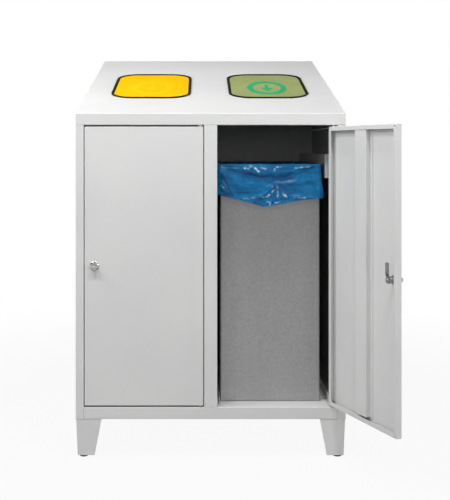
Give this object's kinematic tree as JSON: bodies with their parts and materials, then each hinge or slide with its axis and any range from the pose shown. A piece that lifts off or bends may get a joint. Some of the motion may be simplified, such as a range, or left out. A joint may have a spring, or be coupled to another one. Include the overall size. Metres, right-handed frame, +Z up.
{
  "type": "double recycling bin",
  "caption": "Sheet-steel recycling cabinet on feet: sloping hood with push flaps, hinged doors with turn latches, and a galvanised bin with a bag in each compartment.",
  "frame": {"origin": "on the floor, below the middle of the box round the whole object with its right door open at 112 degrees", "axes": "+Z up, -Y towards someone standing before the doors, +X to that person's right"},
  "size_m": [0.794, 0.9976, 1.097],
  "materials": {
    "powder_coat": "light grey powder coat, fine texture, satin",
    "galvanised_steel": "galvanised sheet, dull with faint streaks",
    "chrome": "polished",
    "zinc": "zinc plated",
    "edge_rubber": "matt edge profile",
    "black_plastic": "moulded",
    "yellow_plastic": "satin yellow",
    "green_plastic": "satin olive green",
    "blue_film": "creased blue film"
  },
  "bodies": {
    "root": {"left_side_panel": "powder_coat", "right_side_panel": "powder_coat", "back_panel": "powder_coat", "floor_pan": "powder_coat", "centre_post": "powder_coat", "partition": "powder_coat", "hood": "powder_coat", "front_left_foot": "powder_coat", "front_right_foot": "powder_coat", "rear_left_foot": "powder_coat", "rear_right_foot": "powder_coat", "left_guide_rail": "powder_coat", "right_guide_rail": "powder_coat", "left_hinge_side_guide": "powder_coat", "right_hinge_side_guide": "powder_coat", "left_latch_side_guide": "powder_coat", "right_latch_side_guide": "powder_coat", "left_bin": "galvanised_steel", "left_door_lower_pivot": "zinc", "left_door_upper_pivot": "zinc", "left_flap_rod": "zinc", "left_flap_spring": "zinc", "left_flap_left_bracket": "zinc", "left_flap_right_bracket": "zinc", "right_door_lower_pivot": "zinc", "right_door_upper_pivot": "zinc", "right_flap_rod": "zinc", "right_flap_spring": "zinc", "right_flap_left_bracket": "zinc", "right_flap_right_bracket": "zinc", "left_opening_trim": "edge_rubber", "right_opening_trim": "edge_rubber", "front_left_glide": "black_plastic", "front_right_glide": "black_plastic", "rear_left_glide": "black_plastic", "rear_right_glide": "black_plastic", "left_bag": "blue_film"},
    "left_door": {"left_door": "powder_coat", "left_door_stiffener": "powder_coat", "left_latch_housing": "chrome", "left_latch_nut": "zinc"},
    "right_door": {"right_door": "powder_coat", "right_door_stiffener": "powder_coat", "right_latch_housing": "chrome", "right_latch_nut": "zinc"},
    "left_latch": {"left_knob": "chrome", "left_cam": "zinc", "left_cam_screw": "zinc"},
    "right_latch": {"right_knob": "chrome", "right_cam": "zinc", "right_cam_screw": "zinc"},
    "left_flap": {"left_flap": "yellow_plastic"},
    "right_flap": {"right_flap": "green_plastic"},
    "right_bin": {"right_bin": "galvanised_steel", "right_bag": "blue_film"}
  },
  "joints": [
    {"name": "left_door_hinge", "type": "hinge", "parent": "root", "child": "left_door", "pos_m": [-0.07401, -0.21671, 0.135], "axis": [0, 0, -1], "range_deg": [-125, 0]},
    {"name": "right_door_hinge", "type": "hinge", "parent": "root", "child": "right_door", "pos_m": [0.27199, -0.21671, 0.135], "axis": [0, 0, 1], "range_deg": [-112, 13]},
    {"name": "left_latch_turn", "type": "hinge", "parent": "left_door", "child": "left_latch", "pos_m": [-0.34801, -0.22121, 0.4965], "axis": [0, -1, 0], "range_deg": [0, 90]},
    {"name": "right_latch_turn", "type": "hinge", "parent": "right_door", "child": "right_latch", "pos_m": [0.3788, -0.46907, 0.4965], "axis": [0.9272, 0.3746, 0], "range_deg": [0, 90]},
    {"name": "left_flap_hinge", "type": "hinge", "parent": "root", "child": "left_flap", "pos_m": [-0.21351, 0.26602, 1.01857], "axis": [1, 0, 0], "range_deg": [0, 70], "stiffness_Nm_per_rad": 0.5, "springref_deg": -80.21},
    {"name": "right_flap_hinge", "type": "hinge", "parent": "root", "child": "right_flap", "pos_m": [0.11949, 0.26602, 1.01857], "axis": [1, 0, 0], "range_deg": [0, 70], "stiffness_Nm_per_rad": 0.5, "springref_deg": -80.21},
    {"name": "right_bin_slide", "type": "slide", "parent": "root", "child": "right_bin", "axis": [0, -1, 0], "range_m": [0, 0.3]}
  ]
}
